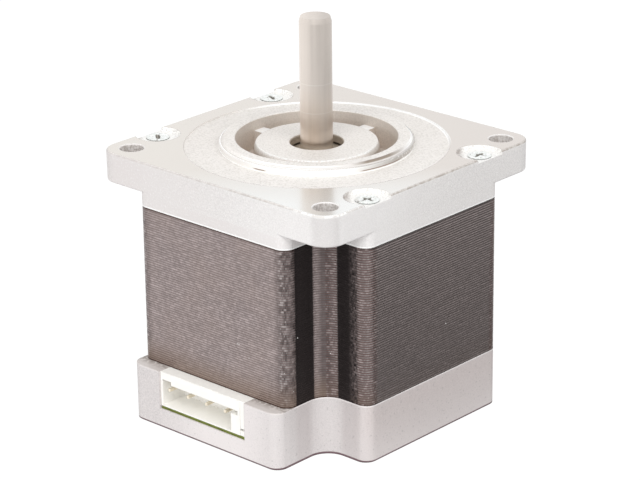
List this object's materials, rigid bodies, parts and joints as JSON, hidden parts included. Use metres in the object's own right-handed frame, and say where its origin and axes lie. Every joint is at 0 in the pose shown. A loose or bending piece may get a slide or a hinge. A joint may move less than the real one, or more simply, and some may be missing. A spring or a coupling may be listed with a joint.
{
  "type": "stepper motor",
  "caption": "Square-flange hybrid stepper motor with a laminated stator between die-cast ends, a toothed rotor on ball bearings, a plain shaft and a side plug socket.",
  "frame": {"origin": "on the shaft axis in the plane of the flange's mounting face", "axes": "+Z along the shaft out of the motor, -Y towards the plug socket, the four long screws lie beside the X faces"},
  "size_m": [0.057, 0.0598, 0.0741],
  "materials": {
    "bell_casting": "machined and cast",
    "lamination_steel": "gloss coated sheets",
    "cap_casting": "as cast",
    "zinc_screw": "bright zinc",
    "ground_shaft": "ground",
    "rotor_steel": "ground",
    "magnet": "nickel plated",
    "bearing_steel": "polished",
    "ball_steel": "polished",
    "cage_brass": "pressed",
    "shield_steel": "pressed",
    "spring_steel": "rolled",
    "insulator_plastic": "moulded",
    "copper_wire": "enamelled",
    "board_green": "solder resist",
    "socket_plastic": "moulded",
    "pin_plating": "gold plated",
    "terminal_tin": "tinned"
  },
  "bodies": {
    "housing": {"front_end_bell": "bell_casting", "stator_laminations": "lamination_steel", "rear_end_cap": "cap_casting", "assembly_screws": "zinc_screw", "front_bearing_outer_ring": "bearing_steel", "front_bearing_shields": "shield_steel", "rear_bearing_outer_ring": "bearing_steel", "rear_bearing_shields": "shield_steel", "wave_washer": "spring_steel", "front_winding_insulator": "insulator_plastic", "rear_winding_insulator": "insulator_plastic", "phase_a_coils": "copper_wire", "phase_b_coils": "copper_wire", "connection_board": "board_green", "connector_header": "socket_plastic", "connector_pins": "pin_plating", "coil_terminals": "terminal_tin"},
    "rotor": {"shaft": "ground_shaft", "front_rotor_core": "rotor_steel", "rear_rotor_core": "rotor_steel", "rotor_magnet": "magnet", "front_bearing_inner_ring": "bearing_steel", "rear_bearing_inner_ring": "bearing_steel"},
    "front_ball_set": {"front_bearing_balls": "ball_steel", "front_bearing_cage": "cage_brass"},
    "rear_ball_set": {"rear_bearing_balls": "ball_steel", "rear_bearing_cage": "cage_brass"}
  },
  "joints": [
    {"name": "rotor_spin", "type": "hinge", "parent": "housing", "child": "rotor", "pos_m": [0, 0, 0], "axis": [0, 0, 1], "continuous": true},
    {"name": "front_balls_orbit", "type": "hinge", "parent": "housing", "child": "front_ball_set", "pos_m": [0, 0, -0.0044], "axis": [0, 0, 1], "continuous": true},
    {"name": "rear_balls_orbit", "type": "hinge", "parent": "housing", "child": "rear_ball_set", "pos_m": [0, 0, -0.0434], "axis": [0, 0, 1], "continuous": true}
  ],
  "couplings": [
    {"joint": "front_balls_orbit", "follows": "rotor_spin", "ratio": 0.36274},
    {"joint": "rear_balls_orbit", "follows": "rotor_spin", "ratio": 0.36274}
  ]
}
